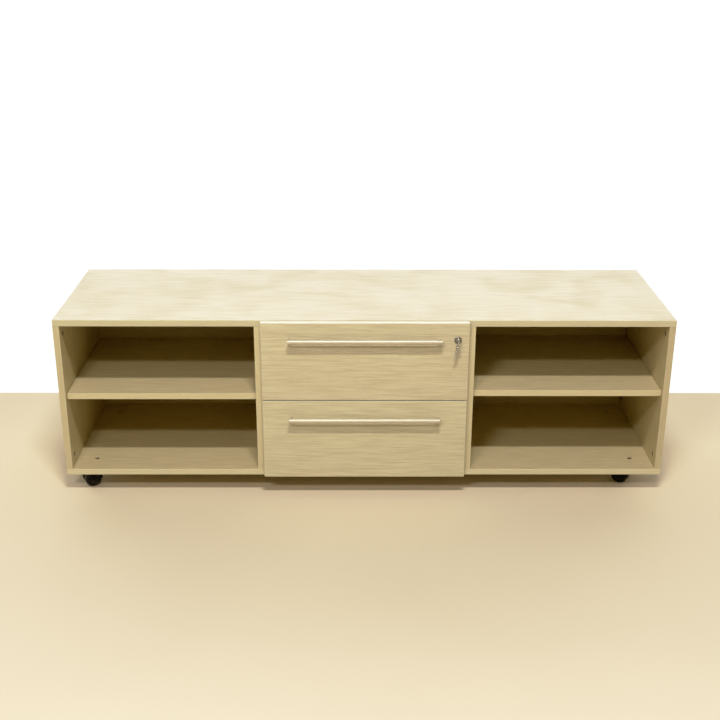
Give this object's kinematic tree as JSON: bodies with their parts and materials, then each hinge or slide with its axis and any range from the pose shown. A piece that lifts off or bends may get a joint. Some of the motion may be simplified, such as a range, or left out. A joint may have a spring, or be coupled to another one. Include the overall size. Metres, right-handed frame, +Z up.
{
  "type": "sideboard",
  "caption": "Low office sideboard on twin-wheel casters: open bays with a shelf at each side and a lockable stack of drawers with bar handles in the middle.",
  "frame": {"origin": "on the floor, at the middle of the outer box", "axes": "+X to the right along the width, +Y from the drawer fronts to the back, +Z up"},
  "size_m": [1.8, 0.5533, 0.558],
  "materials": {
    "board_laminate": "pale oak laminate, satin",
    "back_board": "pale oak laminate on thin board, satin",
    "drawer_board": "foiled chipboard, satin",
    "dowel_beech": "fluted beech, bare",
    "handle_nickel": "satin nickel",
    "lock_nickel": "nickel plated",
    "key_steel": "nickel plated, worn",
    "runner_zinc": "bright zinc plated",
    "fastener_steel": "zinc plated",
    "cam_zinc": "die-cast zinc, matt",
    "caster_steel": "zinc plated",
    "caster_hood": "black moulded nylon, satin",
    "caster_wheel": "black moulded nylon, scuffed tread"
  },
  "bodies": {
    "cabinet": {"back_panel": "back_board", "bottom_panel": "board_laminate", "cabinet_runners": "runner_zinc", "cabinet_screws": "fastener_steel", "cam_bolts": "fastener_steel", "cam_locks": "cam_zinc", "caster_kingpins": "caster_steel", "caster_plates": "caster_steel", "caster_screws": "fastener_steel", "dowels": "dowel_beech", "left_divider": "board_laminate", "left_shelf": "board_laminate", "left_side_panel": "board_laminate", "lock_keeper": "fastener_steel", "right_divider": "board_laminate", "right_shelf": "board_laminate", "right_side_panel": "board_laminate", "shelf_pins": "fastener_steel", "top_panel": "board_laminate"},
    "front_left_caster": {"front_left_caster_axle": "caster_steel", "front_left_caster_hood": "caster_hood"},
    "front_left_caster_wheel_a": {"front_left_caster_wheel_a": "caster_wheel"},
    "front_left_caster_wheel_b": {"front_left_caster_wheel_b": "caster_wheel"},
    "front_right_caster": {"front_right_caster_axle": "caster_steel", "front_right_caster_hood": "caster_hood"},
    "front_right_caster_wheel_a": {"front_right_caster_wheel_a": "caster_wheel"},
    "front_right_caster_wheel_b": {"front_right_caster_wheel_b": "caster_wheel"},
    "lock": {"key": "key_steel", "lock_cam": "fastener_steel", "lock_plug": "lock_nickel"},
    "key_ring": {"key_ring": "key_steel"},
    "upper_drawer": {"lock_housing": "lock_nickel", "lock_nut": "fastener_steel", "upper_box_bottom": "drawer_board", "upper_box_ends": "drawer_board", "upper_box_sides": "drawer_board", "upper_drawer_front": "board_laminate", "upper_drawer_runners": "runner_zinc", "upper_drawer_screws": "fastener_steel", "upper_handle_bar": "handle_nickel", "upper_handle_posts": "handle_nickel"},
    "lower_drawer": {"lower_box_bottom": "drawer_board", "lower_box_ends": "drawer_board", "lower_box_sides": "drawer_board", "lower_drawer_front": "board_laminate", "lower_drawer_runners": "runner_zinc", "lower_drawer_screws": "fastener_steel", "lower_handle_bar": "handle_nickel", "lower_handle_posts": "handle_nickel"},
    "lower_middle_runners": {"lower_middle_runners": "runner_zinc"},
    "rear_left_caster": {"rear_left_caster_axle": "caster_steel", "rear_left_caster_hood": "caster_hood"},
    "rear_left_caster_wheel_a": {"rear_left_caster_wheel_a": "caster_wheel"},
    "rear_left_caster_wheel_b": {"rear_left_caster_wheel_b": "caster_wheel"},
    "rear_right_caster": {"rear_right_caster_axle": "caster_steel", "rear_right_caster_hood": "caster_hood"},
    "rear_right_caster_wheel_a": {"rear_right_caster_wheel_a": "caster_wheel"},
    "rear_right_caster_wheel_b": {"rear_right_caster_wheel_b": "caster_wheel"},
    "spare_key": {"spare_key": "key_steel"},
    "upper_middle_runners": {"upper_middle_runners": "runner_zinc"}
  },
  "joints": [
    {"name": "upper_drawer_slide", "type": "slide", "parent": "cabinet", "child": "upper_drawer", "axis": [0, -1, 0], "range_m": [0, 0.45]},
    {"name": "upper_runner_slide", "type": "slide", "parent": "cabinet", "child": "upper_middle_runners", "axis": [0, -1, 0], "range_m": [0, 0.225]},
    {"name": "lower_drawer_slide", "type": "slide", "parent": "cabinet", "child": "lower_drawer", "axis": [0, -1, 0], "range_m": [0, 0.45]},
    {"name": "lower_runner_slide", "type": "slide", "parent": "cabinet", "child": "lower_middle_runners", "axis": [0, -1, 0], "range_m": [0, 0.225]},
    {"name": "lock_turn", "type": "hinge", "parent": "upper_drawer", "child": "lock", "pos_m": [0.268, -0.2465, 0.505], "axis": [0, -1, 0], "range_deg": [0, 90]},
    {"name": "key_ring_swing", "type": "hinge", "parent": "lock", "child": "key_ring", "pos_m": [0.268, -0.2668, 0.5034], "axis": [1, 0, 0], "range_deg": [-60, 8]},
    {"name": "spare_key_swing", "type": "hinge", "parent": "key_ring", "child": "spare_key", "pos_m": [0.26438, -0.2668, 0.48988], "axis": [1, 0, 0], "range_deg": [-60, 8]},
    {"name": "front_left_swivel", "type": "hinge", "parent": "cabinet", "child": "front_left_caster", "pos_m": [-0.822, -0.1525, 0.05], "axis": [0, 0, 1], "continuous": true},
    {"name": "front_left_wheel_a_roll", "type": "hinge", "parent": "front_left_caster", "child": "front_left_caster_wheel_a", "pos_m": [-0.84142, -0.16283, 0.025], "axis": [0.4695, -0.8829, 0], "continuous": true},
    {"name": "front_left_wheel_b_roll", "type": "hinge", "parent": "front_left_caster", "child": "front_left_caster_wheel_b", "pos_m": [-0.84142, -0.16283, 0.025], "axis": [0.4695, -0.8829, 0], "continuous": true},
    {"name": "front_right_swivel", "type": "hinge", "parent": "cabinet", "child": "front_right_caster", "pos_m": [0.822, -0.1525, 0.05], "axis": [0, 0, 1], "continuous": true},
    {"name": "front_right_wheel_a_roll", "type": "hinge", "parent": "front_right_caster", "child": "front_right_caster_wheel_a", "pos_m": [0.80295, -0.1415, 0.025], "axis": [-0.5, -0.866, 0], "continuous": true},
    {"name": "front_right_wheel_b_roll", "type": "hinge", "parent": "front_right_caster", "child": "front_right_caster_wheel_b", "pos_m": [0.80295, -0.1415, 0.025], "axis": [-0.5, -0.866, 0], "continuous": true},
    {"name": "rear_left_swivel", "type": "hinge", "parent": "cabinet", "child": "rear_left_caster", "pos_m": [-0.822, 0.1995, 0.05], "axis": [0, 0, 1], "continuous": true},
    {"name": "rear_left_wheel_a_roll", "type": "hinge", "parent": "rear_left_caster", "child": "rear_left_caster_wheel_a", "pos_m": [-0.84335, 0.19418, 0.025], "axis": [0.2419, -0.9703, 0], "continuous": true},
    {"name": "rear_left_wheel_b_roll", "type": "hinge", "parent": "rear_left_caster", "child": "rear_left_caster_wheel_b", "pos_m": [-0.84335, 0.19418, 0.025], "axis": [0.2419, -0.9703, 0], "continuous": true},
    {"name": "rear_right_swivel", "type": "hinge", "parent": "cabinet", "child": "rear_right_caster", "pos_m": [0.822, 0.1995, 0.05], "axis": [0, 0, 1], "continuous": true},
    {"name": "rear_right_wheel_a_roll", "type": "hinge", "parent": "rear_right_caster", "child": "rear_right_caster_wheel_a", "pos_m": [0.80065, 0.20482, 0.025], "axis": [-0.2419, -0.9703, 0], "continuous": true},
    {"name": "rear_right_wheel_b_roll", "type": "hinge", "parent": "rear_right_caster", "child": "rear_right_caster_wheel_b", "pos_m": [0.80065, 0.20482, 0.025], "axis": [-0.2419, -0.9703, 0], "continuous": true}
  ],
  "couplings": [
    {"joint": "upper_runner_slide", "follows": "upper_drawer_slide", "ratio": 0.5},
    {"joint": "lower_runner_slide", "follows": "lower_drawer_slide", "ratio": 0.5}
  ]
}
